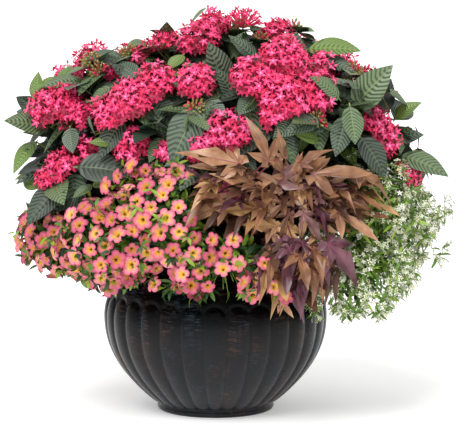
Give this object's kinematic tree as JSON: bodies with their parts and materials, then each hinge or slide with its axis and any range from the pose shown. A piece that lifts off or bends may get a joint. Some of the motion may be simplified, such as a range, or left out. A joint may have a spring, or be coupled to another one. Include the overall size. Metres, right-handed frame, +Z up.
{
  "type": "potted pentas with companion plants",
  "caption": "Round gadrooned black pot planted with a pink-flowered pentas and trailing calibrachoa, bronze sweet potato vine and white euphorbia",
  "frame": {"origin": "on the floor at the centre of the pot's flat underside", "axes": "+Z up, -Y towards the viewer's side of the planting, +X to the viewer's right"},
  "size_m": [0.7, 0.5864, 0.6479],
  "materials": {
    "pot_resin": "satin black moulded resin with a brushed, aged metal look",
    "potting_mix": "dark crumbly potting mix",
    "pentas_stem": "green-brown half-woody stem",
    "calibrachoa_stem": "soft green stem",
    "vine_stem": "smooth bronze vine",
    "euphorbia_stem": "thin green stem",
    "pentas_leaf": "dark green quilted leaf under hot pink flower heads",
    "calibrachoa_petal": "salmon and cream petals",
    "vine_leaf": "bronze and purple lobed leaf",
    "euphorbia_petal": "tiny white bracts over green leaves"
  },
  "bodies": {
    "root": {"calibrachoa_bough_back_left": "calibrachoa_stem", "calibrachoa_bough_front": "calibrachoa_stem", "calibrachoa_bough_front_left": "calibrachoa_stem", "calibrachoa_bough_front_low": "calibrachoa_stem", "calibrachoa_bough_left": "calibrachoa_stem", "calibrachoa_mass_back_left": "calibrachoa_petal", "calibrachoa_mass_front": "calibrachoa_petal", "calibrachoa_mass_front_left": "calibrachoa_petal", "calibrachoa_mass_front_low": "calibrachoa_petal", "calibrachoa_mass_left": "calibrachoa_petal", "calibrachoa_stem": "calibrachoa_stem", "euphorbia_bough_back_right": "euphorbia_stem", "euphorbia_bough_front": "euphorbia_stem", "euphorbia_bough_low": "euphorbia_stem", "euphorbia_bough_right": "euphorbia_stem", "euphorbia_mass_back_right": "euphorbia_petal", "euphorbia_mass_front": "euphorbia_petal", "euphorbia_mass_low": "euphorbia_petal", "euphorbia_mass_right": "euphorbia_petal", "euphorbia_stem": "euphorbia_stem", "pentas_bough_back": "pentas_stem", "pentas_bough_back_left": "pentas_stem", "pentas_bough_back_right": "pentas_stem", "pentas_bough_front": "pentas_stem", "pentas_bough_front_left": "pentas_stem", "pentas_bough_front_right": "pentas_stem", "pentas_bough_left": "pentas_stem", "pentas_bough_left_low": "pentas_stem", "pentas_bough_right": "pentas_stem", "pentas_bough_right_low": "pentas_stem", "pentas_bough_top_back": "pentas_stem", "pentas_bough_top_left": "pentas_stem", "pentas_bough_top_right": "pentas_stem", "pentas_mass_back": "pentas_leaf", "pentas_mass_back_left": "pentas_leaf", "pentas_mass_back_right": "pentas_leaf", "pentas_mass_front": "pentas_leaf", "pentas_mass_front_left": "pentas_leaf", "pentas_mass_front_right": "pentas_leaf", "pentas_mass_left": "pentas_leaf", "pentas_mass_left_low": "pentas_leaf", "pentas_mass_right": "pentas_leaf", "pentas_mass_right_low": "pentas_leaf", "pentas_mass_top_back": "pentas_leaf", "pentas_mass_top_left": "pentas_leaf", "pentas_mass_top_right": "pentas_leaf", "pentas_stem": "pentas_stem", "pot": "pot_resin", "potting_mix": "potting_mix", "vine_bough_centre": "vine_stem", "vine_bough_low": "vine_stem", "vine_bough_right": "vine_stem", "vine_mass_centre": "vine_leaf", "vine_mass_low": "vine_leaf", "vine_mass_right": "vine_leaf", "vine_stem": "vine_stem"}
  },
  "joints": []
}
